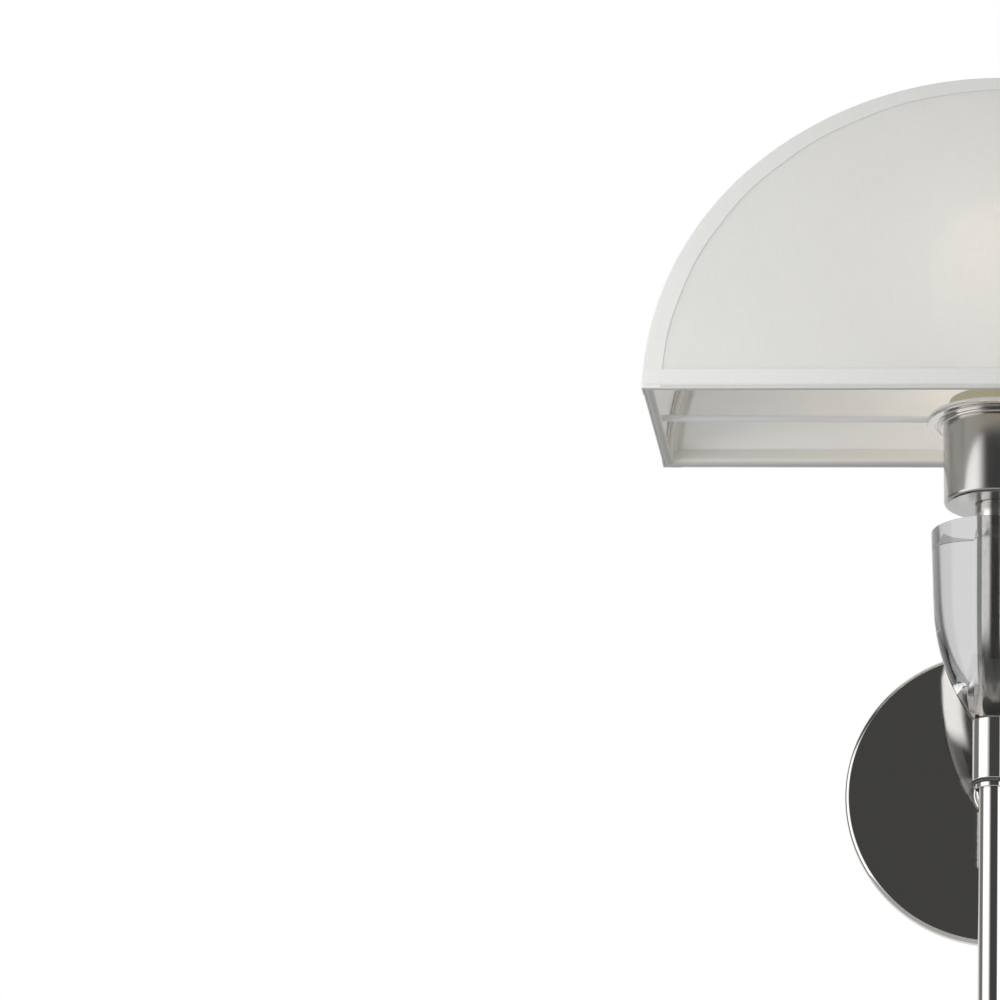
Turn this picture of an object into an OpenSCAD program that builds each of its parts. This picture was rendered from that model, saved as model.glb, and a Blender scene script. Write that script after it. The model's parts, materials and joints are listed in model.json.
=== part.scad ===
// Wall sconce on a swinging arm: a round backplate carries a short arm on a vertical pin.
// The arm ends in a sleeve that a long vertical stem turns in.
// The stem carries a calyx of solid glass, a lamp socket and a half-moon shade.
// Frame: +Z up, the room is towards -Y, the wall is the plane y = 0.
// The origin is the centre of the backplate on the wall.

/* [Backplate] */
// Diameter of the round backplate
plate_d = 133; // [125:1:150]
// Depth of the backplate from the wall to its face
plate_depth = 6; // [6:0.5:8]
// Radius of the backplate's rounded edge
plate_edge_r = 2.2; // [1:0.2:3]
// Thickness of the backplate's sheet
plate_wall = 1.4; // [1:0.1:1.5]
// Distance between the two slots of the mounting strap
strap_slot_spacing = 88.9; // [70:0.1:90]
// Width of each slot in the mounting strap
strap_slot_w = 4.8; // [4:0.2:6]
// Length of each slot in the mounting strap, end to end
strap_slot_len = 14; // [8:1:16]

/* [Arm] */
// Distance from the wall to the axis of the stem
stem_reach = 88; // [80:1:110]
// Distance from the wall to the swivel pin
pivot_reach = 27; // [26:1:30]
// Diameter of the swivel pin
pin_d = 5; // [4:0.5:5]
// Outer diameter of the arm's tube
arm_d = 9.5; // [8:0.5:10.5]
// Bore of the arm's tube
arm_bore_d = 7.2; // [6:0.2:7.4]
// Outer diameter of the sleeve that holds the stem
hub_d = 18.7; // [18:0.1:20]
// Height of the sleeve that holds the stem
hub_h = 26.4; // [26:0.2:32]

/* [Stem] */
// Outer diameter of the stem
stem_d = 12.7; // [12:0.1:13]
// Bore of the stem
stem_bore_d = 10.4; // [10.2:0.1:10.8]
// Height of the stem's lower end below the arm
stem_drop = 478; // [250:1:600]

/* [Calyx] */
// Diameter of the calyx at its rim
calyx_rim_d = 54.8; // [50:0.2:60]
// Height of the calyx
calyx_h = 82.6; // [78:0.2:90]
// Radius of the long curve that closes the calyx towards the stem
calyx_curve_r = 93; // [90:1:100]
// Flare of the upper part of the calyx, in degrees
calyx_flare = 2.3; // [1:0.1:4]
// Radius of the calyx's polished top edge
calyx_edge_r = 0.4; // [0.4:0.1:2]
// Diameter of the tube through the calyx
core_d = 11.8; // [11:0.2:12.2]

/* [Socket] */
// Height of the socket cup's floor above the arm
cup_z = 107.7; // [106:0.1:112]
// Height of the socket cup
cup_h = 34.9; // [34:0.1:36]
// Diameter of the socket cup at its top
cup_top_d = 45.4; // [45:0.2:46]
// Diameter of the socket cup at its floor
cup_floor_d = 44.2; // [43:0.2:45]
// Diameter of the flange on top of the socket cup
flange_d = 59.6; // [56:0.2:62]
// Diameter of the neck between calyx and socket cup
neck_d = 17.6; // [16:0.2:18]
// Diameter of the lamp bulb
bulb_d = 60; // [55:1:60]

/* [Shade] */
// Width of the half-moon shade
shade_w = 298; // [290:1:310]
// Height of the half-moon shade
shade_h = 142; // [142:1:148]
// Depth of the shade from front panel to back panel
shade_depth = 105; // [90:1:110]
// Height of the shade's lower edge above the arm
shade_z = 143; // [143:0.5:144]
// Radius of the arcs at the two sides of the half-moon
shade_side_r = 138; // [134:0.5:139]
// Thickness of the fabric with its lining
fabric_t = 0.8; // [0.6:0.1:1]
// Diameter of the shade's frame wires
wire_d = 2.6; // [2:0.1:2.8]

/* [Hidden] */
$fn = 96;

eps = 0.01;
running = 0.05;
plate_r = plate_d / 2;
plate_floor = plate_depth - plate_wall;
strap_t = 1.6;
strap_w = 22;
strap_len = 112;
nipple_r = 4.85;
nipple_bore_r = 3.2;
nipple_clearance = 0.1;
nut_t = 2.6;
nut_across_flats = 14;
ground_screw_z = -24;
lead_r = 0.9;
lead_x = 1.15;

boss_len = 8;
boss_r = 9.7;
fork_base_y = plate_depth + boss_len;
fork_web = 4.6;
fork_half_w = 6.2;
fork_ear_t = 3;
fork_ear_r = 6;
ear_inner_z = 4.5;
pin_r = pin_d / 2;
washer_t = 0.5;
tongue_half_z = ear_inner_z - washer_t - running;
tongue_r = 5.6;
knuckle_reach = pivot_reach + 8;
knuckle_len = 7;
knuckle_r = 6;
knuckle_socket = 4;
arm_r = arm_d / 2;
arm_start = knuckle_reach + knuckle_len - knuckle_socket;
hub_r = hub_d / 2;
// The sleeve sits a little low on the arm's axis.
hub_low = -1.2 - hub_h / 2;
hub_high = -1.2 + hub_h / 2;
hub_bore_r = 7.9;
arm_end = stem_reach - hub_r + 0.8;
ferrule_r = 6.2;
ferrule_len = 4.2;

stem_r = stem_d / 2;
bush_r = stem_r + 0.07;
bush_h = 8;
calyx_z = hub_high + 0.4;
calyx_rim_r = calyx_rim_d / 2;
calyx_rim_z = calyx_z + calyx_h;
core_r = core_d / 2;
stem_top = calyx_z - 0.1;
// The long curve ends where its slope equals the flare of the upper part.
calyx_joint_x = calyx_curve_r * cos(calyx_flare);
calyx_joint_dz = calyx_curve_r * sin(calyx_flare);
calyx_tan = tan(calyx_flare);
calyx_mid_z = calyx_z + 49.8;
calyx_joint_r = calyx_rim_r - (calyx_rim_z - calyx_mid_z) * calyx_tan;
calyx_centre = [calyx_joint_r - calyx_joint_x, calyx_mid_z + calyx_joint_dz];

neck_r = neck_d / 2;
cup_wall = 1.2;
cup_edge_r = 1.8;
flange_r = flange_d / 2;
flange_t = 1.5;
flange_z = cup_z + cup_h + 1.7;
flange_step_r = 24.4;
spider_ring_t = 1.3;
spider_z = flange_z + flange_t + 0.1;
ring_nut_z = spider_z + spider_ring_t + 0.1;
socket_r = 18;
socket_top = ring_nut_z + 9.5;
shell_r = 14.1;
shell_t = 0.6;
bulb_cap_r = 13.2;
bulb_cap_z = cup_z + 29.5;
bulb_cap_h = 26;
bulb_r = bulb_d / 2;
bulb_len = 83;
bulb_neck_r = 13.6;
glass_t = 1;
bulb_wide_at = bulb_len - bulb_r;

shade_half_w = shade_w / 2;
shade_back_y = stem_reach - shade_depth / 2;
shade_front_y = stem_reach + shade_depth / 2;
// Three arcs, tangent to one another, make the half-moon outline.
side_centre_x = shade_half_w - shade_side_r;
top_r = (pow(side_centre_x, 2) + pow(shade_h, 2) - pow(shade_side_r, 2))
        / (2 * (shade_h - shade_side_r));
top_centre_z = shade_h - top_r;
arc_joint = atan2(-top_centre_z, side_centre_x);
wire_r = wire_d / 2;
wire_inset = fabric_t + wire_r + 0.15;
wire_z = wire_inset;
wire_side_x = side_centre_x + sqrt(pow(shade_side_r - wire_inset, 2) - pow(wire_z, 2));
// Brazed joints leave a hairline, given as an angle, so each stretch stays a solid of its own.
braze_gap = 0.01;
wire_start = asin((wire_z + wire_r) / (shade_side_r - wire_inset)) + braze_gap;
spider_ring_r = 29;
bar_r = 1.4;
// Each bar rises from the ring to lie on top of the shade's side wire.
bar_start = [spider_ring_r - 3, spider_z + bar_r];
bar_end = [wire_side_x + wire_r / 2, shade_z + wire_z + wire_r + bar_r + running];

// --- helpers -------------------------------------------------------------

// Lathe a profile of [radius, distance from the wall] about the arm's axis.
module turned_from_wall() {
  rotate([90, 0, 0]) rotate_extrude() children();
}

// Lathe a profile of [radius, height] about the stem's axis.
module turned_on_stem() {
  translate([0, -stem_reach, 0]) rotate_extrude() children();
}

// A rod along the arm, between two distances from the wall.
module rod_from_wall(near, far, r) {
  translate([0, -near, 0]) rotate([90, 0, 0]) cylinder(h = far - near, r = r);
}

// A rod on the stem's axis, between two heights.
module rod_on_stem(low, high, r) {
  translate([0, -stem_reach, low]) cylinder(h = high - low, r = r);
}

// A rectangle between two radii and two heights, for lathed profiles.
module band_2d(r_in, r_out, low, high) {
  translate([r_in, low]) square([r_out - r_in, high - low]);
}

// The same rectangle with its two outer corners rounded.
module soft_band_2d(r_in, r_out, low, high, edge) {
  band_2d(r_in, r_out - edge, low, high);
  band_2d(r_in, r_out, low + edge, high - edge);
  for (h = [low + edge, high - edge]) translate([r_out - edge, h]) circle(r = edge, $fn = 32);
}

module hex_prism(across_flats, h) {
  cylinder(h = h, r = across_flats / 2 / cos(30), $fn = 6);
}

module leads_along(h) {
  for (side = [-1, 1]) translate([side * lead_x, 0, 0]) cylinder(h = h, r = lead_r);
}

// The half-moon outline, drawn inset by a distance; its flat edge lies on y = low.
module half_moon_2d(inset, low) {
  far = 2 * top_r;
  intersection() {
    union() {
      for (side = [-1, 1]) translate([side * side_centre_x, 0])
        circle(r = shade_side_r - inset, $fn = 240);
      translate([-side_centre_x, low])
        square([2 * side_centre_x, shade_side_r - inset - low]);
      intersection() {
        translate([0, top_centre_z]) circle(r = top_r - inset, $fn = 240);
        polygon([
          [0, top_centre_z],
          [far * cos(arc_joint), top_centre_z + far * sin(arc_joint)],
          [-far * cos(arc_joint), top_centre_z + far * sin(arc_joint)]
        ]);
      }
    }
    translate([-shade_w, low]) square([2 * shade_w, 2 * shade_h]);
  }
}

// Extrude an upright outline from one distance from the wall to another.
module upright(near, far) {
  translate([0, -near, shade_z]) rotate([90, 0, 0]) linear_extrude(far - near) children();
}

// One bent stretch of frame wire, from one angle to another.
module wire_arc(r, from, to) {
  rotate([0, 0, from]) rotate_extrude(angle = to - from)
    translate([r, 0]) circle(r = wire_r, $fn = 32);
}

// One frame wire: three arcs brazed end to end on a straight bottom, at a distance from the wall.
module half_moon_wire(distance) {
  translate([0, -distance, shade_z]) rotate([90, 0, 0]) {
    for (side = [0, 1]) mirror([side, 0, 0]) translate([side_centre_x, 0, 0])
      wire_arc(shade_side_r - wire_inset, wire_start, arc_joint - braze_gap);
    translate([0, top_centre_z, 0])
      wire_arc(top_r - wire_inset, arc_joint, 180 - arc_joint);
    translate([-wire_side_x - wire_r, wire_z, 0]) rotate([0, 90, 0])
      cylinder(h = 2 * (wire_side_x + wire_r), r = wire_r, $fn = 32);
  }
}

// --- fixed to the wall ---------------------------------------------------

module backplate() {
  color("silver") turned_from_wall() difference() {
    union() {
      band_2d(nipple_r + nipple_clearance, plate_r, 0, plate_depth - plate_edge_r);
      band_2d(nipple_r + nipple_clearance, plate_r - plate_edge_r, 0, plate_depth);
      translate([plate_r - plate_edge_r, plate_depth - plate_edge_r])
        circle(r = plate_edge_r, $fn = 48);
    }
    band_2d(0, plate_r - plate_wall, -1, plate_floor);
  }
}

module mounting_strap() {
  slot_straight = strap_slot_len - strap_slot_w;
  color("lightgray") difference() {
    translate([-strap_w / 2, -strap_t, -strap_len / 2]) cube([strap_w, strap_t, strap_len]);
    for (side = [-1, 1]) translate([0, 0, side * strap_slot_spacing / 2]) {
      for (end = [-1, 1]) translate([0, 1, end * slot_straight / 2]) rotate([90, 0, 0])
        cylinder(h = strap_t + 2, r = strap_slot_w / 2);
      translate([-strap_slot_w / 2, -strap_t - 1, -slot_straight / 2])
        cube([strap_slot_w, strap_t + 2, slot_straight]);
    }
    rod_from_wall(-1, strap_t + 1, nipple_r + nipple_clearance);
    translate([0, 0, ground_screw_z]) rod_from_wall(-1, strap_t + 1, 1.7);
  }
}

module ground_screw() {
  color("green") translate([0, 0, ground_screw_z]) turned_from_wall() {
    soft_band_2d(0, 3.4, strap_t, strap_t + 1.7, 0.5);
    band_2d(0, 1.65, 0.3, strap_t + 0.5);
  }
}

module wall_nipple() {
  color("goldenrod") turned_from_wall()
    band_2d(nipple_bore_r, nipple_r, 0.4, plate_depth + boss_len - 1.5);
}

module lock_nut() {
  color("goldenrod") difference() {
    translate([0, -strap_t, 0]) rotate([90, 0, 0]) hex_prism(nut_across_flats, nut_t);
    rod_from_wall(0, plate_depth, nipple_r + nipple_clearance);
  }
}

module wall_boss() {
  bore = nipple_r + nipple_clearance;
  color("silver") turned_from_wall() difference() {
    union() {
      soft_band_2d(2, boss_r, plate_depth, plate_depth + 2.6, 0.8);
      band_2d(2, boss_r - 2.2, plate_depth + 2.5, plate_depth + 4.2);
      soft_band_2d(2, boss_r - 1.1, plate_depth + 4.1, fork_base_y, 1.2);
    }
    band_2d(0, bore, plate_depth - 1, fork_base_y - 1.2);
  }
}

module swivel_fork() {
  web_end = fork_base_y + fork_web;
  color("silver") difference() {
    union() {
      rod_from_wall(fork_base_y, web_end, fork_half_w + 1.2);
      for (side = [-1, 1]) translate([0, 0, side * (ear_inner_z + fork_ear_t / 2)]) {
        translate([-fork_ear_r, -pivot_reach, -fork_ear_t / 2])
          cube([2 * fork_ear_r, pivot_reach - fork_base_y - 1, fork_ear_t]);
        translate([0, -pivot_reach, -fork_ear_t / 2]) cylinder(h = fork_ear_t, r = fork_ear_r);
      }
    }
    translate([0, -pivot_reach, -20]) cylinder(h = 40, r = pin_r + running / 2);
    rod_from_wall(fork_base_y - 1, web_end + 1, 2);
  }
}

module swivel_pin() {
  ear_outer = ear_inner_z + fork_ear_t;
  color("silver") translate([0, -pivot_reach, 0]) rotate_extrude() {
    band_2d(0, pin_r, -ear_outer - 3.4, ear_outer + 0.5);
    soft_band_2d(0, 4.4, ear_outer, ear_outer + 2, 0.8);
  }
}

module swivel_cap_nut() {
  ear_outer = ear_inner_z + fork_ear_t;
  color("silver") translate([0, -pivot_reach, 0]) rotate_extrude() difference() {
    union() {
      soft_band_2d(0, 4.4, -ear_outer - 2.6, -ear_outer, 0.5);
      intersection() {
        translate([0, -ear_outer - 2.4]) circle(r = 3.6, $fn = 48);
        band_2d(0, 5, -ear_outer - 7, -ear_outer - 1);
      }
    }
    band_2d(-1, pin_r + running / 2, -ear_outer - 3.6, 1);
  }
}

module swivel_washers() {
  color("ivory") translate([0, -pivot_reach, 0]) rotate_extrude()
    for (low = [-ear_inner_z, ear_inner_z - washer_t])
      band_2d(pin_r + running, tongue_r, low, low + washer_t);
}

module wall_leads() {
  color("white") translate([0, -0.8, 0]) rotate([90, 0, 0]) leads_along(plate_depth + boss_len - 2.2);
}

// --- swings with the arm -------------------------------------------------

module arm_knuckle() {
  color("silver") difference() {
    union() {
      translate([0, -pivot_reach, -tongue_half_z]) cylinder(h = 2 * tongue_half_z, r = tongue_r);
      translate([-tongue_half_z, -knuckle_reach - 1, -tongue_half_z])
        cube([2 * tongue_half_z, knuckle_reach + 1 - pivot_reach, 2 * tongue_half_z]);
      turned_from_wall()
        soft_band_2d(0, knuckle_r, knuckle_reach, knuckle_reach + knuckle_len, 1);
    }
    translate([0, -pivot_reach, -20]) cylinder(h = 40, r = pin_r + running);
    rod_from_wall(arm_start, arm_start + 10, arm_r + running / 2);
  }
}

module arm_tube() {
  color("silver") difference() {
    rod_from_wall(arm_start, arm_end, arm_r);
    rod_from_wall(arm_start - 1, arm_end + 1, arm_bore_d / 2);
    rod_on_stem(-hub_h, hub_h, hub_r);
  }
}

module arm_ferrule() {
  near = stem_reach - hub_r - ferrule_len;
  color("silver") difference() {
    turned_from_wall() {
      soft_band_2d(arm_r + running / 2, ferrule_r, near, near + 2, 0.7);
      band_2d(arm_r + running / 2, ferrule_r - 0.5, near + 1, stem_reach - hub_r / 2);
    }
    rod_on_stem(-hub_h, hub_h, hub_r);
  }
}

module hub_sleeve() {
  color("silver") difference() {
    turned_on_stem() soft_band_2d(hub_bore_r, hub_r, hub_low, hub_high, 0.5);
    rod_from_wall(stem_reach - hub_r - 1, stem_reach, arm_bore_d / 2);
  }
}

module hub_bushes() {
  color("burlywood") turned_on_stem()
    for (low = [hub_low + 0.4, hub_high - 0.4 - bush_h])
      band_2d(bush_r, hub_bore_r - 0.02, low, low + bush_h);
}

module arm_leads() {
  start = arm_start + 0.5;
  color("white") translate([0, -start, 0]) rotate([90, 0, 0])
    leads_along(stem_reach - hub_bore_r - start);
}

// --- turns with the stem -------------------------------------------------

module stem_tube() {
  color("silver") turned_on_stem() band_2d(stem_bore_d / 2, stem_r, -stem_drop, stem_top);
}

module stem_plug() {
  color("goldenrod") turned_on_stem()
    band_2d(nipple_r + 0.02, stem_bore_d / 2 - 0.02, stem_top - 18, stem_top - 1);
}

module stem_washer() {
  low = hub_low - 1.1;
  color("dimgray") turned_on_stem() band_2d(stem_r + running, 8.5, low, low + 0.8);
}

module retaining_ring() {
  high = hub_low - 1.1;
  color("silver") turned_on_stem() soft_band_2d(stem_r + running, 8, high - 2.2, high, 0.4);
}

module stem_finial() {
  bottom = -stem_drop;
  color("silver") turned_on_stem() intersection() {
    union() {
      band_2d(0, stem_bore_d / 2 - 0.05, bottom, bottom + 8);
      soft_band_2d(0, 8.2, bottom - 2.6, bottom, 0.8);
      band_2d(0, 5, bottom - 5, bottom - 2.5);
      translate([0, bottom - 12.6]) circle(r = 9, $fn = 96);
      translate([0, bottom - 22]) circle(r = 2.4, $fn = 48);
    }
    band_2d(0, 20, bottom - 40, bottom + 20);
  }
}

// The calyx's outline, filled: a long curve from the stem, then a straight flare.
module calyx_2d() {
  top = calyx_rim_z + 1;
  intersection() {
    translate(calyx_centre) circle(r = calyx_curve_r, $fn = 360);
    band_2d(0, calyx_curve_r, calyx_z - 1, calyx_mid_z + eps);
  }
  polygon([
    [0, calyx_mid_z],
    [calyx_joint_r, calyx_mid_z],
    [calyx_joint_r + (top - calyx_mid_z) * calyx_tan, top],
    [0, top]
  ]);
}

module calyx() {
  edge_x = calyx_rim_r - calyx_edge_r * (1 + calyx_tan);
  color("lightcyan", 0.5) turned_on_stem() difference() {
    union() {
      intersection() {
        calyx_2d();
        band_2d(0, calyx_curve_r, calyx_z, calyx_rim_z - calyx_edge_r);
      }
      band_2d(0, edge_x, calyx_rim_z - 2 * calyx_edge_r, calyx_rim_z);
      translate([edge_x, calyx_rim_z - calyx_edge_r]) circle(r = calyx_edge_r, $fn = 32);
    }
    band_2d(0, core_r + running, calyx_z - 1, calyx_rim_z + 1);
  }
}

module neck_tube() {
  color("silver") turned_on_stem() difference() {
    union() {
      band_2d(0, core_r, stem_top + running, cup_z);
      band_2d(0, neck_r, calyx_rim_z + 0.1, cup_z - 0.7);
      band_2d(0, neck_r - 0.9, cup_z - 1, cup_z);
    }
    band_2d(0, nipple_r + nipple_clearance, 0, cup_z + 1);
  }
}

module neck_nipple() {
  color("goldenrod") turned_on_stem() band_2d(nipple_bore_r, nipple_r, stem_top - 19, cup_z + 5.2);
}

module neck_leads() {
  low = stem_top - 40;
  color("white") translate([0, -stem_reach, low]) leads_along(cup_z + 5 - low);
}

module socket_cup() {
  floor_r = cup_floor_d / 2;
  top_of_cup = cup_z + cup_h;
  color("silver") turned_on_stem() difference() {
    union() {
      band_2d(0, floor_r - cup_edge_r, cup_z, cup_z + 5);
      translate([floor_r - cup_edge_r, cup_z + cup_edge_r]) circle(r = cup_edge_r, $fn = 48);
      polygon([
        [0, cup_z + cup_edge_r],
        [floor_r, cup_z + cup_edge_r],
        [cup_top_d / 2, top_of_cup],
        [0, top_of_cup]
      ]);
    }
    band_2d(0, floor_r - cup_wall, cup_z + 1.4, top_of_cup + 1);
    band_2d(0, nipple_r + nipple_clearance, cup_z - 1, cup_z + 5);
  }
}

module cup_nut() {
  color("goldenrod") difference() {
    translate([0, -stem_reach, cup_z + 1.4]) hex_prism(nut_across_flats, nut_t);
    rod_on_stem(cup_z, cup_z + 10, nipple_r + 0.02);
  }
}

module socket_flange() {
  step_low = cup_z + cup_h;
  color("silver") turned_on_stem() difference() {
    union() {
      soft_band_2d(0, flange_r, flange_z, flange_z + flange_t, 0.6);
      soft_band_2d(0, flange_step_r, step_low, flange_z + 0.8, 0.7);
    }
    band_2d(0, socket_r + 0.2, step_low - 1, flange_z + flange_t + 1);
    translate([flange_step_r + 1.3, flange_z]) circle(r = 0.7, $fn = 24);
  }
}

module socket_body() {
  low = cup_z + 7;
  color("whitesmoke") turned_on_stem() difference() {
    union() {
      band_2d(0, socket_r, low, socket_top - 1.5);
      band_2d(0, socket_r - 1, low, socket_top);
    }
    band_2d(0, shell_r + 0.02, low + 5, socket_top + 1);
    band_2d(0, 3.1, low - 1, low + 6);
  }
}

module screw_shell() {
  low = cup_z + 12.1;
  color("goldenrod") turned_on_stem() {
    band_2d(shell_r - shell_t, shell_r, low, socket_top - 0.5);
    band_2d(8, shell_r, low, low + 0.6);
  }
}

module socket_contact() {
  low = cup_z + 9;
  color("goldenrod") turned_on_stem() {
    band_2d(0, 3, low, low + 3);
    band_2d(0, 4.2, low + 3, low + 4);
  }
}

module ring_nut() {
  color("ivory") turned_on_stem() difference() {
    union() {
      soft_band_2d(socket_r + 0.05, 25, ring_nut_z, ring_nut_z + 2, 0.7);
      polygon([
        [socket_r, ring_nut_z + 1],
        [21.4, ring_nut_z + 1],
        [20.2, ring_nut_z + 7.6],
        [socket_r, ring_nut_z + 7.6]
      ]);
    }
    band_2d(0, socket_r + 0.05, ring_nut_z - 1, ring_nut_z + 12);
  }
}

// Radius of the bulb at a height above its cap: a narrow neck swells into a round crown.
function bulb_profile(z) =
  bulb_neck_r + (bulb_r - bulb_neck_r) * pow(sin(90 * z / bulb_wide_at), 1.6);

// The bulb's outline, filled, drawn inset by a distance.
module bulb_2d(inset) {
  steps = 20;
  crown = bulb_r - inset;
  polygon(concat(
    [[0, inset]],
    [for (i = [0 : steps]) let (z = inset + (bulb_wide_at - inset) * i / steps)
      [bulb_profile(z) - inset, z]],
    [for (i = [1 : steps - 1]) let (a = 90 * i / steps)
      [crown * cos(a), bulb_wide_at + crown * sin(a)]],
    [[0, bulb_wide_at + crown]]
  ));
}

module bulb_glass() {
  color("white", 0.8) turned_on_stem() translate([0, bulb_cap_z + bulb_cap_h]) difference() {
    bulb_2d(0);
    bulb_2d(glass_t);
  }
}

module bulb_cap() {
  color("lightgray") turned_on_stem() {
    band_2d(0, bulb_cap_r, bulb_cap_z, bulb_cap_z + bulb_cap_h);
  }
}

module bulb_contact() {
  color("gold") turned_on_stem() band_2d(0, 4, bulb_cap_z - 3, bulb_cap_z);
}

module shade_spider() {
  slope = atan2(bar_end.y - bar_start.y, bar_end.x - bar_start.x);
  color("gainsboro") {
    turned_on_stem() band_2d(socket_r + 0.3, spider_ring_r, spider_z, spider_z + spider_ring_t);
    for (side = [0, 1]) mirror([side, 0, 0])
      translate([bar_start.x, -stem_reach, bar_start.y]) rotate([0, 90 - slope, 0])
        cylinder(h = norm(bar_end - bar_start), r = bar_r);
  }
}

module shade_front_frame() {
  color("gainsboro") half_moon_wire(shade_front_y - wire_inset);
}

module shade_back_frame() {
  color("gainsboro") half_moon_wire(shade_back_y + wire_inset);
}

module shade_side_wires() {
  near = shade_back_y + wire_inset + wire_r;
  far = shade_front_y - wire_inset - wire_r;
  color("gainsboro") for (side = [-1, 1]) translate([side * wire_side_x, 0, shade_z + wire_z])
    rod_from_wall(near, far, wire_r);
}

module shade_front_panel() {
  color("linen") upright(shade_front_y - fabric_t, shade_front_y) half_moon_2d(0, 0);
}

module shade_back_panel() {
  color("linen") upright(shade_back_y, shade_back_y + fabric_t) half_moon_2d(0, 0);
}

module shade_band() {
  color("linen") upright(shade_back_y + fabric_t, shade_front_y - fabric_t) difference() {
    half_moon_2d(0, 0);
    half_moon_2d(fabric_t, -1);
  }
}

// --- assembly ------------------------------------------------------------

backplate();
mounting_strap();
ground_screw();
wall_nipple();
lock_nut();
wall_boss();
swivel_fork();
swivel_pin();
swivel_cap_nut();
swivel_washers();
wall_leads();
arm_knuckle();
arm_tube();
arm_ferrule();
hub_sleeve();
hub_bushes();
arm_leads();
stem_tube();
stem_plug();
stem_washer();
retaining_ring();
stem_finial();
calyx();
neck_tube();
neck_nipple();
neck_leads();
socket_cup();
cup_nut();
socket_flange();
socket_body();
screw_shell();
socket_contact();
ring_nut();
bulb_glass();
bulb_cap();
bulb_contact();
shade_spider();
shade_front_frame();
shade_back_frame();
shade_side_wires();
shade_front_panel();
shade_back_panel();
shade_band();
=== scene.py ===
import json
import math

import bmesh
import bpy
import numpy as np
from mathutils import Matrix, Vector


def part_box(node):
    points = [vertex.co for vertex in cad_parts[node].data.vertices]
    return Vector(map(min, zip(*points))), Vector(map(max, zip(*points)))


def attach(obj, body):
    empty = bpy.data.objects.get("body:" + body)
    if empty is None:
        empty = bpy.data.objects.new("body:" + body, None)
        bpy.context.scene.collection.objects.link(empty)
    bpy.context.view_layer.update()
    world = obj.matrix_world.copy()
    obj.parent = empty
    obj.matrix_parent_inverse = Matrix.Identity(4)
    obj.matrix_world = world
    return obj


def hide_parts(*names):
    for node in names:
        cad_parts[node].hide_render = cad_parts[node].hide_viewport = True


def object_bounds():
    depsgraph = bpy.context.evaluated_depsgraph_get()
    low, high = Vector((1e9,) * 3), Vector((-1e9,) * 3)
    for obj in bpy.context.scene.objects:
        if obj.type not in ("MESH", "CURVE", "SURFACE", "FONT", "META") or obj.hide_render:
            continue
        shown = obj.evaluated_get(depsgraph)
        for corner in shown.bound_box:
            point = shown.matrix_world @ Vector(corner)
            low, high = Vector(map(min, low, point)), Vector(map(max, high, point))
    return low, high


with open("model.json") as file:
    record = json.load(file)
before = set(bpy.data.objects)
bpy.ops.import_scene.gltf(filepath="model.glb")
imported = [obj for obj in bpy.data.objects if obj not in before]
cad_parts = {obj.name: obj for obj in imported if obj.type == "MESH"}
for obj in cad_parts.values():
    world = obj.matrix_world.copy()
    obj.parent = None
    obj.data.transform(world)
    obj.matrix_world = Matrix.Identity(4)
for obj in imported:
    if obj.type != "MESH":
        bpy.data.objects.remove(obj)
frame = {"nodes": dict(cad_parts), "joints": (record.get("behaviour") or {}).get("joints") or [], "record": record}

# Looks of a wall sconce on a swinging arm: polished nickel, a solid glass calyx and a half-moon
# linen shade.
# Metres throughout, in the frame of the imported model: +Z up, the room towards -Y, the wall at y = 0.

MM = 0.001
CAD_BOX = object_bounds()
JOINTS = {joint["name"]: joint for joint in frame["joints"]}
STEM_X, STEM_Y = JOINTS["stem_turn"]["pos_m"][:2]


# --- camera ----------------------------------------------------------------

def aim_camera():
    """A long lens below the shade, looking up at it."""
    pan = math.radians(8.338)
    tilt = math.radians(18.052)
    roll = math.radians(2.731)
    right = Vector((math.cos(pan), math.sin(pan), 0))
    ahead = Vector((-math.sin(pan) * math.cos(tilt), math.cos(pan) * math.cos(tilt), math.sin(tilt)))
    up = right.cross(ahead)
    turned_right = right * math.cos(roll) + up * math.sin(roll)
    turned_up = up * math.cos(roll) - right * math.sin(roll)
    data = bpy.data.cameras.new("camera")
    data.sensor_width = 36
    data.lens = 137.45
    data.clip_start = 0.05
    data.clip_end = 50
    camera = bpy.data.objects.new("camera", data)
    bpy.context.scene.collection.objects.link(camera)
    basis = Matrix((turned_right, turned_up, -ahead)).transposed()
    camera.matrix_world = Matrix.Translation((0.01527, -1.66091, -0.40807)) @ basis.to_4x4()
    bpy.context.scene.camera = camera


aim_camera()


# --- node graphs -------------------------------------------------------------

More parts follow.
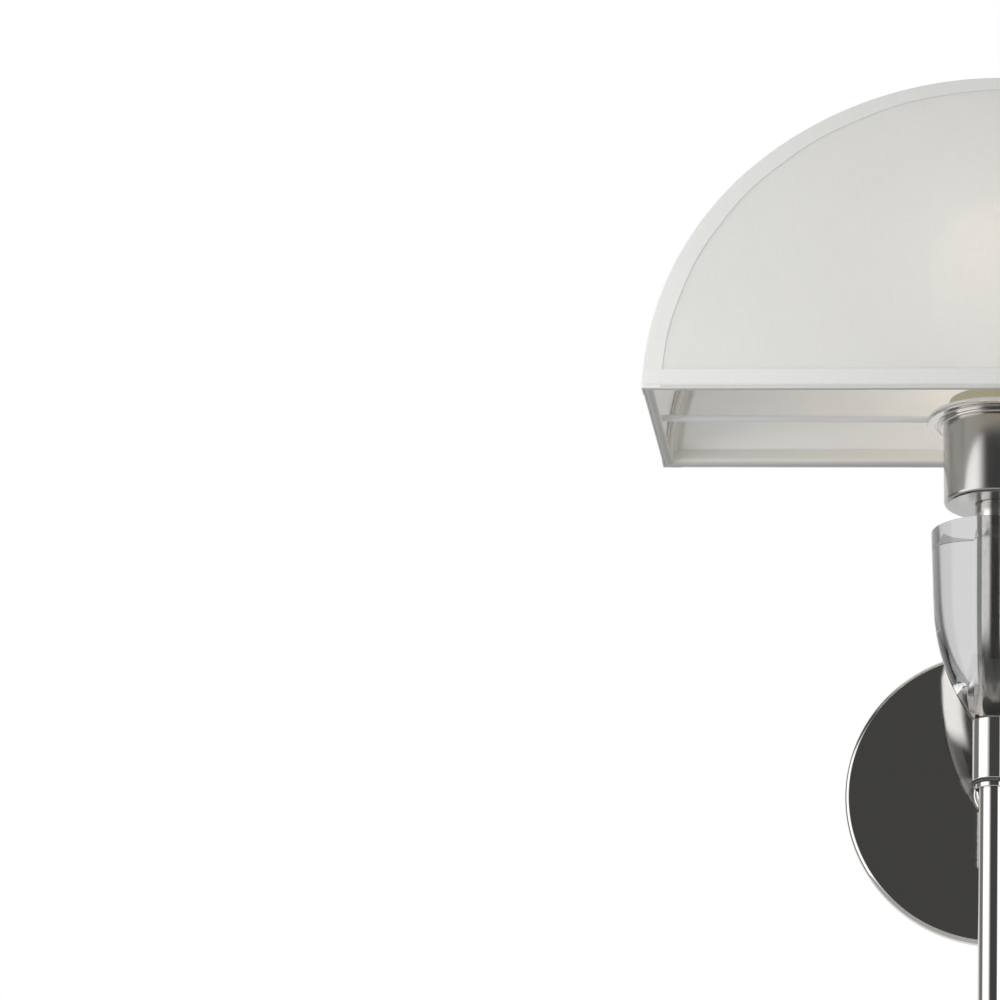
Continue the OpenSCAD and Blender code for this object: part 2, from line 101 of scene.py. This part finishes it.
class Graph:
    """Adds nodes to a node tree and links them by socket."""

    def __init__(self, tree):
        self.tree = tree
        tree.nodes.clear()

    def node(self, kind, inputs=None, **settings):
        made = self.tree.nodes.new("ShaderNode" + kind)
        for key, value in settings.items():
            setattr(made, key, value)
        for key, value in (inputs or {}).items():
            if isinstance(value, bpy.types.NodeSocket):
                self.tree.links.new(value, made.inputs[key])
            else:
                made.inputs[key].default_value = value
        return made

    def math(self, operation, *values):
        return self.node("Math", dict(enumerate(values)), operation=operation).outputs[0]

    def ramp(self, value, low, high):
        """0 below low, 1 above high, smooth in between."""
        ends = {"Value": value, "From Min": low, "From Max": high}
        return self.node("MapRange", ends, interpolation_type="SMOOTHSTEP").outputs[0]

    def window(self, value, low, high, soft, soft_high=None):
        """1 between low and high, with soft edges."""
        end = soft if soft_high is None else soft_high
        rise = self.ramp(value, low - soft / 2, low + soft / 2)
        fall = self.ramp(value, high - end / 2, high + end / 2)
        return self.math("SUBTRACT", rise, fall)

    def noise(self, vector, scale, detail=3.0, stretch=(1, 1, 1)):
        mapped = self.node("Mapping", {"Vector": vector, "Scale": stretch}).outputs[0]
        inputs = {"Vector": mapped, "Scale": scale, "Detail": detail}
        return self.node("TexNoise", inputs).outputs["Fac"]

    def blend(self, factor, a, b):
        """A colour between a and b."""
        mix = self.node("Mix", data_type="RGBA")
        for socket, value in zip((mix.inputs[0], mix.inputs[6], mix.inputs[7]), (factor, a, b)):
            if isinstance(value, bpy.types.NodeSocket):
                self.tree.links.new(value, socket)
            else:
                socket.default_value = value
        return mix.outputs[2]

    def sheer(self, shader, colour, normal, through, gaps):
        """The shader with a share of light spread through it, and a share straight through its gaps."""
        spread = self.node("BsdfTranslucent", {"Color": colour, "Normal": normal}).outputs[0]
        mixed = self.node("MixShader", {0: through, 1: shader, 2: spread}).outputs[0]
        clear = self.node("BsdfTransparent").outputs[0]
        return self.node("MixShader", {0: gaps, 1: mixed, 2: clear}).outputs[0]

    def output(self, kind, shader):
        self.node(kind, {0: shader})


def shaded(colour, share):
    """The colour darkened or lightened by a share, with full alpha."""
    return tuple(min(1.0, c * share) for c in colour) + (1.0,)


# --- studio ----------------------------------------------------------------

# Soft light by direction, in degrees: azimuth from the room's side, to the right, and elevation.
# Each row is azimuth low and its soft edge, azimuth high and its soft edge, elevation low and high,
# strength.
SOFTBOXES = [
    (-86, 12, -32, 26, -30, 30, 1.65),
    (30, 10, 86, 12, -30, 30, 1.65),
    (-128, 8, -86, 8, -90, 60, 0.16),
    (86, 8, 128, 8, -90, 60, 0.16),
    (-200, 10, -128, 10, -90, 90, 0.82),
    (128, 10, 200, 10, -90, 90, 0.82),
    (-128, 10, 128, 10, 56, 110, 0.8),
]
FRONT_GLOW = 0.075
BOX_SOFT_EL = 10


def studio_world():
    """White to the camera; reflections and shading see the softboxes round the object."""
    world = bpy.data.worlds.new("studio")
    bpy.context.scene.world = world
    world.use_nodes = True
    graph = Graph(world.node_tree)
    direction = graph.node("TexCoord").outputs["Generated"]
    parts = graph.node("SeparateXYZ", {0: direction})
    towards_room = graph.math("MULTIPLY", parts.outputs[1], -1.0)
    turn = graph.math("ARCTAN2", parts.outputs[0], towards_room)
    azimuth = graph.math("MULTIPLY", turn, math.degrees(1))
    elevation = graph.math("MULTIPLY", graph.math("ARCSINE", parts.outputs[2]), math.degrees(1))
    total = FRONT_GLOW
    for az_low, soft_low, az_high, soft_high, el_low, el_high, strength in SOFTBOXES:
        across = graph.window(azimuth, az_low, az_high, soft_low, soft_high)
        upwards = graph.window(elevation, el_low, el_high, BOX_SOFT_EL)
        patch = graph.math("MULTIPLY", across, upwards)
        total = graph.math("MULTIPLY_ADD", patch, strength, total)
    seen = graph.node("LightPath").outputs["Is Camera Ray"]
    strength = graph.node("Mix", {0: seen, 2: total, 3: 1.0}, data_type="FLOAT").outputs[0]
    background = graph.node("Background", {"Color": (1, 1, 1, 1), "Strength": strength})
    graph.output("OutputWorld", background.outputs[0])


def soft_light(name, place, aim, size, energy):
    """A large soft light that mirrors and glass don't show."""
    data = bpy.data.lights.new(name, "AREA")
    data.shape = "DISK"
    data.size = size
    data.energy = energy
    lamp = bpy.data.objects.new(name, data)
    bpy.context.scene.collection.objects.link(lamp)
    lamp.location = place
    lamp.rotation_mode = "QUATERNION"
    lamp.rotation_quaternion = (Vector(place) - Vector(aim)).to_track_quat("Z", "Y")
    lamp.visible_glossy = False
    lamp.visible_transmission = False


def studio_lights():
    """One light at the left grades the shade's front; one at the lower right lights its inside."""
    soft_light("key", (-0.36, -0.5, 0.08), (-0.08, STEM_Y, 0.18), 0.3, 1.22)
    soft_light("fill", (0.15, -0.71, -0.286), (0, STEM_Y, 0.2), 0.5, 0.26)


def floor_plane(name, size, drop, material):
    """A square plane, size metres from middle to edge, lying a drop below the object."""
    bm = bmesh.new()
    bmesh.ops.create_grid(bm, x_segments=8, y_segments=8, size=size)
    mesh = bpy.data.meshes.new(name)
    bm.to_mesh(mesh)
    bm.free()
    plane = bpy.data.objects.new(name, mesh)
    bpy.context.scene.collection.objects.link(plane)
    plane.location.z = CAD_BOX[0].z - drop
    mesh.materials.append(material)
    return plane


def floor():
    """A plain pale floor below the object; its far part is seen and does nothing else."""
    paint = finish("floor_paint", (0.8, 0.8, 0.79), rough=(0.6, 0.75), scale=6, bump=0.02)
    floor_plane("floor", 1.4, 0.06, paint)
    far = floor_plane("floor_far", 30, 0.0605, paint)
    far.visible_diffuse = False
    far.visible_glossy = False
    far.visible_transmission = False
    far.visible_shadow = False


# --- materials ---------------------------------------------------------------

def new_material(name):
    material = bpy.data.materials.new(name)
    material.use_nodes = True
    return material, Graph(material.node_tree)


def finish(name, colour, rough, metallic=0.0, scale=400.0, stretch=(1, 1, 1), tone=0.06,
           bump=0.05, coat=0.0):
    """A moulded, painted or metal surface: a fine grain moves its tone, roughness and relief."""
    material, graph = new_material(name)
    place = graph.node("TexCoord").outputs["Object"]
    grain = graph.noise(place, scale, 4.0, stretch)
    clouds = graph.noise(place, 28.0, 2.0)
    colours = graph.blend(clouds, shaded(colour, 1 - tone), shaded(colour, 1 + tone))
    spread = {"Value": grain, "From Min": 0.3, "From Max": 0.7, "To Min": rough[0], "To Max": rough[1]}
    roughness = graph.node("MapRange", spread).outputs[0]
    bump_inputs = {"Height": grain, "Strength": bump, "Distance": 0.05 * MM}
    relief = graph.node("Bump", bump_inputs).outputs[0]
    inputs = {"Base Color": colours, "Roughness": roughness, "Normal": relief}
    shader = graph.node("BsdfPrincipled", inputs)
    shader.inputs["Metallic"].default_value = metallic
    shader.inputs["Coat Weight"].default_value = coat
    shader.inputs["Coat Roughness"].default_value = 0.08
    graph.output("OutputMaterial", shader.outputs[0])
    return material


def spangled(name, colour):
    """Zinc plating: faint crystal patches over fine pressing lines."""
    material, graph = new_material(name)
    place = graph.node("TexCoord").outputs["Object"]
    cells = graph.node("TexVoronoi", {"Vector": place, "Scale": 260.0}).outputs["Distance"]
    lines = graph.noise(place, 300.0, 3.0, (1, 1, 0.05))
    colours = graph.blend(cells, shaded(colour, 0.86), shaded(colour, 1.1))
    spread = {"Value": lines, "To Min": 0.28, "To Max": 0.5}
    roughness = graph.node("MapRange", spread).outputs[0]
    relief = graph.node("Bump", {"Height": lines, "Strength": 0.15, "Distance": 0.05 * MM}).outputs[0]
    inputs = {"Base Color": colours, "Roughness": roughness, "Normal": relief}
    shader = graph.node("BsdfPrincipled", inputs)
    shader.inputs["Metallic"].default_value = 1.0
    graph.output("OutputMaterial", shader.outputs[0])
    return material


def woven(name, colour, thread, through, gaps=0.0, relief=0.25, under=1.0):
    """A plain weave drawn in the mesh's UVs, which are metres, with slubs along both threads.
    under is the share the colour is scaled to where the cloth faces down: painted shade on its undersides."""
    material, graph = new_material(name)
    place = graph.node("UVMap", uv_map="UVMap").outputs[0]
    parts = graph.node("SeparateXYZ", {0: place})
    crossings = []
    for axis in (0, 1):
        turns = graph.math("MULTIPLY", parts.outputs[axis], math.pi / thread)
        crossings.append(graph.math("SINE", turns))
    weave = graph.math("ABSOLUTE", graph.math("MULTIPLY", *crossings))
    long_slubs = graph.noise(place, 1.0, 3.0, (70, 1700, 1))
    tall_slubs = graph.noise(place, 1.0, 3.0, (1700, 90, 1))
    clouds = graph.noise(place, 30.0, 2.0)
    slubs = graph.math("MULTIPLY_ADD", tall_slubs, 0.5, graph.math("MULTIPLY", long_slubs, 0.5))
    fine = graph.math("MULTIPLY_ADD", weave, 0.25, slubs)
    tones = graph.math("MULTIPLY_ADD", clouds, 0.25, fine)
    factor = graph.ramp(tones, 0.35, 1.1)
    contrast = 0.035
    colours = graph.blend(factor, shaded(colour, 1 - contrast), shaded(colour, 1 + contrast))
    # Painted shade: the colour falls towards the under share as the cloth's true normal turns down.
    true_normal = graph.node("NewGeometry").outputs["Normal"]
    facing = graph.node("SeparateXYZ", {0: true_normal}).outputs[2]
    down = graph.ramp(facing, 0.1, -0.9)
    painted_shade_scale = graph.node("MapRange", {"Value": down, "To Min": 1.0, "To Max": under}).outputs[0]
    colours = graph.node("VectorMath", {0: colours, "Scale": painted_shade_scale}, operation="SCALE").outputs[0]
    bump_inputs = {"Height": fine, "Strength": relief, "Distance": 0.12 * MM}
    normal = graph.node("Bump", bump_inputs).outputs[0]
    inputs = {"Base Color": colours, "Normal": normal, "Roughness": 0.88}
    shader = graph.node("BsdfPrincipled", inputs)
    shader.inputs["Specular IOR Level"].default_value = 0.2
    shader.inputs["Sheen Weight"].default_value = 0.08
    graph.output("OutputMaterial", graph.sheer(shader.outputs[0], colours, normal, through, gaps))
    return material


def lining(name, colour, through, gaps):
    """The styrene sheet behind the linen: smooth, satin, with faint waves from laminating."""
    material, graph = new_material(name)
    place = graph.node("UVMap", uv_map="UVMap").outputs[0]
    waves = graph.noise(place, 45.0, 2.0, (1, 2.5, 1))
    fine = graph.noise(place, 900.0, 3.0)
    colours = graph.blend(waves, shaded(colour, 0.98), shaded(colour, 1.02))
    normal = graph.node("Bump", {"Height": fine, "Strength": 0.1, "Distance": 0.05 * MM}).outputs[0]
    inputs = {"Base Color": colours, "Normal": normal, "Roughness": 0.5}
    shader = graph.node("BsdfPrincipled", inputs)
    shader.inputs["Specular IOR Level"].default_value = 0.35
    graph.output("OutputMaterial", graph.sheer(shader.outputs[0], colours, normal, through, gaps))
    return material


def clear_glass(name):
    """Solid glass, fire-polished, with the faintest ripple."""
    material, graph = new_material(name)
    place = graph.node("TexCoord").outputs["Object"]
    ripple = graph.noise(place, 60.0, 1.0, (1, 1, 0.3))
    normal = graph.node("Bump", {"Height": ripple, "Strength": 0.02, "Distance": 0.1 * MM}).outputs[0]
    shader = graph.node("BsdfPrincipled", {"Normal": normal})
    shader.inputs["Base Color"].default_value = (0.7, 0.697, 0.7, 1)
    shader.inputs["Roughness"].default_value = 0.0
    shader.inputs["IOR"].default_value = 1.5
    shader.inputs["Transmission Weight"].default_value = 1.0
    graph.output("OutputMaterial", shader.outputs[0])
    return material


def lit_glass(name):
    """The lamp's frosted envelope, glowing warm, brighter round its middle."""
    material, graph = new_material(name)
    place = graph.node("TexCoord").outputs["Object"]
    frost = graph.noise(place, 500.0, 3.0)
    height = graph.node("SeparateXYZ", {0: place}).outputs[2]
    low, high = (corner.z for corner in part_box("bulb_glass"))
    middle = graph.window(height, low + 0.3 * (high - low), high + 0.01, 0.04)
    glow = graph.blend(middle, (0.8, 0.69, 0.52, 1), (1.0, 0.88, 0.71, 1))
    normal = graph.node("Bump", {"Height": frost, "Strength": 0.2, "Distance": 0.05 * MM}).outputs[0]
    shader = graph.node("BsdfPrincipled", {"Normal": normal, "Emission Color": glow})
    shader.inputs["Base Color"].default_value = (0.9, 0.88, 0.84, 1)
    shader.inputs["Roughness"].default_value = 0.35
    shader.inputs["Emission Strength"].default_value = 1.8
    graph.output("OutputMaterial", shader.outputs[0])
    return material


MATERIALS = {
    "polished_nickel": finish("nickel", (0.665, 0.65, 0.62), (0.025, 0.05), 1.0,
                              scale=900, tone=0.012, bump=0.015),
    "brass": finish("brass", (0.78, 0.6, 0.28), (0.16, 0.3), 1.0, scale=260, stretch=(1, 1, 6)),
    "zinc_steel": spangled("zinc", (0.62, 0.63, 0.62)),
    "green_screw": finish("green_zinc", (0.1, 0.38, 0.16), (0.3, 0.45), 0.6),
    "bulb_cap_aluminium": finish("aluminium", (0.75, 0.75, 0.75), (0.2, 0.34), 1.0, stretch=(1, 1, 8)),
    "bush_nylon": finish("nylon", (0.86, 0.83, 0.74), (0.4, 0.55)),
    "washer_fibre": finish("fibre", (0.1, 0.1, 0.1), (0.7, 0.9), scale=900, tone=0.2, bump=0.3),
    "lead_insulation": finish("insulation", (0.88, 0.88, 0.86), (0.35, 0.5), stretch=(1, 1, 0.2)),
    "porcelain": finish("glazed_porcelain", (0.9, 0.89, 0.86), (0.12, 0.2), scale=200, coat=0.5),
    "ivory_plastic": finish("ivory_phenolic", (0.48, 0.456, 0.35), (0.28, 0.42), scale=600, tone=0.04),
    "frosted_glass": lit_glass("frosted_lamp"),
    "clear_glass": clear_glass("calyx_glass"),
    "frame_wire": finish("satin_wire", (0.68, 0.69, 0.7), (0.35, 0.5), 0.25, scale=500, tone=0.08,
                         bump=0.2),
}
# The socket cup's nickel: satin roughness, and a base colour darker than the polished nickel's, which is painted
# shade.
SHADED_SATIN_NICKEL = finish("satin_nickel", (0.49, 0.484, 0.472), (0.19, 0.21), 1.0,
                     scale=700, stretch=(1, 1, 3), tone=0.012, bump=0.008)
DRAWN_NICKEL = finish("drawn_nickel", (0.69, 0.68, 0.655), (0.17, 0.21), 1.0,
                      scale=700, stretch=(1, 1, 0.1), tone=0.012, bump=0.008)
OWN_FINISH = {"socket_cup": SHADED_SATIN_NICKEL, "neck_tube": DRAWN_NICKEL}
LINEN = woven("linen_cloth", (0.79, 0.79, 0.77), 0.45 * MM, 0.3, 0.13)
# The tape's colour falls to 0.7 where it faces down, a painted shade under the rolled lower edge.
TAPE = woven("linen_tape", (0.78, 0.78, 0.76), 0.5 * MM, 0.15, relief=0.5, under=0.7)
LINING = lining("styrene_lining", (0.9, 0.9, 0.9), 0.3, 0.13)


# --- mesh helpers --------------------------------------------------------------

def lengths(points):
    """Running length along a line of points, with the closing stretch at the end."""
    steps = np.linalg.norm(np.roll(points, -1, axis=0) - points, axis=1)
    return np.concatenate([[0], np.cumsum(steps)])


def swept(name, rings, materials, closed=False, inner=(), flat_uv=False, sharp=35):
    """A closed solid through rings of points, each ring one closed profile.
    inner gives the profile stretches that take the second material."""
    rings = np.asarray(rings, float)
    stations, around = rings.shape[:2]
    u = lengths(rings.mean(axis=1))
    v = lengths(rings[stations // 2])
    bm = bmesh.new()
    layer = bm.loops.layers.uv.new("UVMap")
    verts = [[bm.verts.new(point) for point in ring] for ring in rings]
    for i in range(stations if closed else stations - 1):
        for j in range(around):
            corners = ((i, j), (i + 1, j), (i + 1, j + 1), (i, j + 1))
            face = bm.faces.new([verts[a % stations][b % around] for a, b in corners])
            face.material_index = 1 if j in inner else 0
            for loop, (a, b) in zip(face.loops, corners):
                point = loop.vert.co
                loop[layer].uv = (point.x, point.z) if flat_uv else (u[a], v[b])
    if not closed:
        bm.faces.new(verts[0])
        bm.faces.new(verts[-1][::-1])
    bmesh.ops.remove_doubles(bm, verts=bm.verts, dist=0.001 * MM)
    bmesh.ops.recalc_face_normals(bm, faces=bm.faces)
    mesh = bpy.data.meshes.new(name)
    bm.to_mesh(mesh)
    bm.free()
    for material in materials:
        mesh.materials.append(material)
    mesh.shade_smooth()
    mesh.set_sharp_from_angle(angle=math.radians(sharp))
    piece = bpy.data.objects.new(name, mesh)
    bpy.context.scene.collection.objects.link(piece)
    return piece


def lathed(name, profile, material, segments=192, sharp=35):
    """A closed profile of (radius, height) turned about the stem's axis."""
    profile = np.asarray(profile, float)
    rings = []
    for turn in np.linspace(0, 2 * math.pi, segments, endpoint=False):
        x = STEM_X + profile[:, 0] * math.cos(turn)
        y = STEM_Y + profile[:, 0] * math.sin(turn)
        rings.append(np.stack([x, y, profile[:, 1]], axis=1))
    return swept(name, rings, [material], closed=True, sharp=sharp)


def arc(centre, radius, start, end, count):
    """Points on an arc, angles in degrees; radius may be a pair that it moves between."""
    first, last = radius if isinstance(radius, tuple) else (radius, radius)
    turns = np.radians(np.linspace(start, end, count))
    radii = np.linspace(first, last, count)
    return np.stack([centre[0] + radii * np.cos(turns), centre[1] + radii * np.sin(turns)], axis=1)


def ribbon(line, thickness):
    """The closed profile of a strip that follows a line."""
    line = np.asarray(line, float)
    along = np.gradient(line, axis=0)
    along /= np.linalg.norm(along, axis=1)[:, None]
    normal = np.stack([-along[:, 1], along[:, 0]], axis=1)
    left = line + normal * thickness / 2
    right = line - normal * thickness / 2
    return np.concatenate([left, right[::-1]])


def add(piece, slot, *nodes):
    """The piece rides with the head and may stand for CAD nodes, which it hides; slot is not used."""
    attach(piece, "head")
    if nodes:
        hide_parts(*nodes)
    return piece


# --- the shade's outline ---------------------------------------------------------

FRONT_LOW, FRONT_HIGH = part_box("shade_front_panel")
BACK_LOW, BACK_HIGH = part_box("shade_back_panel")
SHADE_Z = FRONT_LOW.z
SHADE_H = FRONT_HIGH.z - FRONT_LOW.z
HALF_W = (FRONT_HIGH.x - FRONT_LOW.x) / 2
FRONT_Y = FRONT_LOW.y
BACK_Y = BACK_HIGH.y
HALF_D = (BACK_Y - FRONT_Y) / 2
SIDE_R = 138 * MM
SIDE_X = HALF_W - SIDE_R
TOP_R = (SIDE_X ** 2 + SHADE_H ** 2 - SIDE_R ** 2) / (2 * (SHADE_H - SIDE_R))
TOP_Z = SHADE_H - TOP_R
JOIN = math.atan2(-TOP_Z, SIDE_X)
WIRE_IN = 2.25 * MM
CLOTH_OUT = 0.12 * MM
CLOTH_IN = 0.62 * MM
TAPE_T = 0.18 * MM
TAPE_W = 8.5 * MM


def outline(turn, inset):
    """The half-moon's point and outward normal (x, height) at a normal angle, drawn inset."""
    normal = np.array([math.cos(turn), math.sin(turn)])
    if turn < JOIN:
        return np.array([SIDE_X, 0]) + normal * (SIDE_R - inset)
    if turn > math.pi - JOIN:
        return np.array([-SIDE_X, 0]) + normal * (SIDE_R - inset)
    return np.array([0, TOP_Z]) + normal * (TOP_R - inset)


def arc_turns(start, count):
    return np.linspace(start, math.pi - start, count)


def along_outline(profile, face_y, into, start, count):
    """Rings of a profile of (outward, depth behind the face) that follow the half-moon's arc."""
    rings = []
    for turn in arc_turns(start, count):
        ring = []
        for out, depth in profile:
            x, height = outline(turn, -out)
            ring.append((x, face_y + into * depth, SHADE_Z + height))
        rings.append(ring)
    return rings


# --- the shade -----------------------------------------------------------------

def panel(name, face_y, into, node):
    """A half-moon of linen on its lining, drawn from the middle of its lower edge."""
    inset = 0.45 * MM
    spokes = np.linspace(0, 1, 26)
    rings = []
    for turn in arc_turns(0, 181):
        x, height = outline(turn, inset)
        ring = []
        for depth, shares in ((CLOTH_OUT, spokes), (CLOTH_IN, spokes[::-1])):
            for share in shares:
                px, pz = x * share, height * share
                waves = math.sin(9 * turn + 14 * share) * math.sin(math.pi * min(1, 1.05 * share))
                bow = 0.05 * MM * (1 + waves)
                ring.append((px, face_y + into * (depth + bow), SHADE_Z + pz))
        rings.append(ring)
    piece = swept(name, rings, [LINEN, LINING], inner=range(26, 52), flat_uv=True)
    return add(piece, "linen", node)


def band():
    """The strip of linen that joins the two panels over the arc."""
    edge = 0.75 * MM
    across = np.linspace(edge, 2 * HALF_D - edge, 15)
    profile = [(-CLOTH_OUT, depth) for depth in across] + [(-CLOTH_IN, depth) for depth in across[::-1]]
    rings = along_outline(profile, FRONT_Y, 1, 0, 181)
    piece = swept("shade_band_cloth", rings, [LINEN, LINING], inner=range(15, 30))
    return add(piece, "linen", "shade_band")


def arc_tape(name, face_y, into):
    """Tape folded over the edge between a panel and the band, narrower on the panel near the top."""
    out = 0.04 * MM
    bend = 0.55 * MM
    fold = arc((out - bend, bend - out), bend, -90, 0, 9)
    rings = []
    for turn in arc_turns(0.0, 241):
        hand_cut = 0.12 * math.sin(23 * turn)
        width = (5.7 + 2.3 * abs(math.cos(turn)) + hand_cut) * MM
        line = [(-width * share, -out) for share in (1, 0.75, 0.5, 0.25)]
        line += [tuple(point) for point in fold] + [(out, TAPE_W)]
        ring = []
        for offset, depth in ribbon(line, TAPE_T):
            x, height = outline(turn, -offset)
            ring.append((x, face_y + into * depth, SHADE_Z + height))
        rings.append(ring)
    return add(swept(name, rings, [TAPE]), "linen")


def wire_tape(name, face_y, into):
    """Tape pulled round a frame wire inside the shade and glued to the band and the panel."""
    wrap = arc((-WIRE_IN, WIRE_IN), 1.6 * MM, 58, 212, 15)
    line = [(-0.85 * MM, 5.6 * MM)] + [tuple(point) for point in wrap] + [(-5.6 * MM, 0.9 * MM)]
    rings = along_outline(ribbon(line, TAPE_T), face_y, into, 0.036, 181)
    return add(swept(name, rings, [TAPE]), "linen")


def half_width(height):
    """Half the shade's width at a height above its lower edge."""
    return SIDE_X + math.sqrt(SIDE_R ** 2 - max(0.0, height) ** 2)


def trim_stations():
    """Places round the lower edge: which side in x, which in y, and the normal's angle."""
    sides = np.linspace(-1, 1, 41)
    corner = np.linspace(0, 90, 9)[1:-1]
    places = [(k, -1, -90) for k in sides]
    places += [(1, -1, turn - 90) for turn in corner]
    places += [(1, k, 0) for k in sides[::2]]
    places += [(1, 1, turn) for turn in corner]
    places += [(-k, 1, 90) for k in sides]
    places += [(-1, 1, turn + 90) for turn in corner]
    places += [(-1, -k, 180) for k in sides[::2]]
    places += [(-1, -1, turn + 180) for turn in corner]
    return places


def bottom_trim():
    """One loop of tape round the lower edge, rolled round the frame's lower wires."""
    out = 0.32 * MM - TAPE_T / 2
    roll = WIRE_IN + out
    under = arc((-WIRE_IN, WIRE_IN), (roll, 1.85 * MM), 0, -215, 25)
    line = [(out, height * MM) for height in (8.5, 7, 5.5, 4)]
    line += [tuple(point) for point in under] + [(-0.95 * MM, 8 * MM)]
    profile = ribbon(line, TAPE_T)
    corner_r = 2 * MM
    rings = []
    for side_x, side_y, turn in trim_stations():
        ring = []
        for offset, height in profile:
            radius = max(corner_r + offset, 0.3 * MM)
            reach_x = half_width(height) + offset - radius
            reach_y = HALF_D + offset - radius
            x = side_x * reach_x + radius * math.cos(math.radians(turn))
            y = side_y * reach_y + radius * math.sin(math.radians(turn))
            ring.append((x, STEM_Y + y, SHADE_Z + height))
        rings.append(ring)
    return add(swept("shade_bottom_trim", rings, [TAPE], closed=True), "linen")


def shade():
    front = panel("shade_front_cloth", FRONT_Y, 1, "shade_front_panel")
    back = panel("shade_back_cloth", BACK_Y, -1, "shade_back_panel")
    over = band()
    front_tapes = [arc_tape("front_arc_tape", FRONT_Y, 1), wire_tape("front_wire_tape", FRONT_Y, 1)]
    back_tapes = [arc_tape("back_arc_tape", BACK_Y, -1), wire_tape("back_wire_tape", BACK_Y, -1)]
    trim = bottom_trim()


# --- glass and lamp ----------------------------------------------------------------

def calyx():
    """The glass calyx: a long curve from the stem, a straight flare and a polished rim."""
    low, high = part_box("calyx")
    rim_r = (high.x - low.x) / 2
    curve_r = 93 * MM
    flare = math.radians(2.3)
    edge_r = 0.2 * MM
    neck_low, neck_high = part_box("neck_tube")
    collar_to_bore = 2.85 * MM
    bore_r = (neck_high.x - neck_low.x) / 2 - collar_to_bore
    joint_z = low.z + 49.8 * MM
    joint_r = rim_r - (high.z - joint_z) * math.tan(flare)
    centre_r = joint_r - curve_r * math.cos(flare)
    centre_z = joint_z + curve_r * math.sin(flare)
    start = math.degrees(math.asin((low.z - centre_z) / curve_r))
    body = arc((centre_r, centre_z), curve_r, start, -math.degrees(flare), 90)
    edge_x = rim_r - edge_r * (1 + math.tan(flare))
    rim = arc((edge_x, high.z - edge_r), edge_r, 0, 90, 12)
    bore = np.array([(bore_r, high.z), (bore_r, low.z)])
    profile = np.concatenate([body, rim, bore])
    piece = lathed("calyx_glass_body", profile, MATERIALS["clear_glass"], 288)
    return add(piece, "clear_glass", "calyx")


def backplate():
    """The round backplate, pressed from sheet with a rolled edge."""
    low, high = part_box("backplate")
    radius = (high.x - low.x) / 2
    face = -low.y
    edge_r = 2.2 * MM
    sheet = 1.4 * MM
    hole_r = 4.95 * MM
    edge = arc((radius - edge_r, face - edge_r), edge_r, 0, 90, 14)
    flat = [(r, face) for r in np.linspace(radius - edge_r, hole_r, 12)[1:]]
    inside = [(hole_r, face - sheet), (radius - sheet - 1.2 * MM, face - sheet)]
    inner_edge = [(radius - sheet, face - sheet - 1.2 * MM), (radius - sheet, 0)]
    profile = np.concatenate([[(radius, 0)], edge, flat, inside, inner_edge])
    rings = []
    for turn in np.linspace(0, 2 * math.pi, 288, endpoint=False):
        rings.append([(r * math.cos(turn), -depth, r * math.sin(turn)) for r, depth in profile])
    piece = swept("backplate_pressing", rings, [MATERIALS["polished_nickel"]], closed=True)
    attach(piece, "wall")
    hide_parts("backplate")


def lamp_envelope():
    """The bulb's glass: a narrow neck swelling into a round crown."""
    low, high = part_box("bulb_glass")
    length = high.z - low.z
    crown_r = (high.x - low.x) / 2
    neck_r = 13.6 * MM
    wide_at = length - crown_r
    outer = []
    for height in np.linspace(0, wide_at, 40):
        swell = math.sin(math.pi / 2 * height / wide_at) ** 1.6
        outer.append((neck_r + (crown_r - neck_r) * swell, low.z + height))
    outer = np.array(outer)
    crown = arc((0, low.z + wide_at), crown_r, 0, 89, 32)[1:]
    glass = 1 * MM
    inner_crown = arc((0, low.z + wide_at), crown_r - glass, 89, 0, 32)
    inner = outer[::-1] - np.array([glass, 0])
    profile = np.concatenate([outer, crown, inner_crown, inner[1:]])
    piece = lathed("lamp_envelope", profile, MATERIALS["frosted_glass"], 128)
    return add(piece, "frosted_glass", "bulb_glass")


def lamp_cap():
    """The lamp's screw cap with its rolled thread, which fades out at both ends."""
    low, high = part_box("bulb_cap")
    radius = (high.x - low.x) / 2
    pitch = 3.62 * MM
    thread = 0.45 * MM
    chamfer = 0.8 * MM
    chamfer_share = 0.08
    bore_r = 6 * MM
    heights = np.linspace(low.z, high.z, 84)
    rings = []
    for turn in np.linspace(0, 2 * math.pi, 96, endpoint=False):
        ring = []
        for height in heights:
            share = (height - low.z) / (high.z - low.z)
            fade = min(1, share * 6) * min(1, (1 - share) * 5)
            wave = math.sin(2 * math.pi * (height - low.z) / pitch + turn)
            pull = chamfer * max(0, chamfer_share - share) / chamfer_share
            r = radius - thread + thread * wave * fade - pull
            ring.append((STEM_X + r * math.cos(turn), STEM_Y + r * math.sin(turn), height))
        for height in (high.z, low.z):
            ring.append((STEM_X + bore_r * math.cos(turn), STEM_Y + bore_r * math.sin(turn), height))
        rings.append(ring)
    piece = swept("lamp_screw_cap", rings, [MATERIALS["bulb_cap_aluminium"]], closed=True)
    return add(piece, "bulb_cap_aluminium", "bulb_cap")


# --- assembly --------------------------------------------------------------------

def dress_nodes():
    """Each shown CAD node takes its own procedural finish, or that of its slot."""
    for row in frame["record"]["subparts"]:
        node = frame["nodes"][row["node"]]
        material = OWN_FINISH.get(row["node"], MATERIALS.get(row["material_slot"], LINEN))
        for slot in node.material_slots:
            slot.material = material


bpy.context.scene.view_settings.view_transform = "Standard"
studio_world()
studio_lights()
floor()
dress_nodes()
shade()
calyx()
backplate()
lamp_envelope()
lamp_cap()
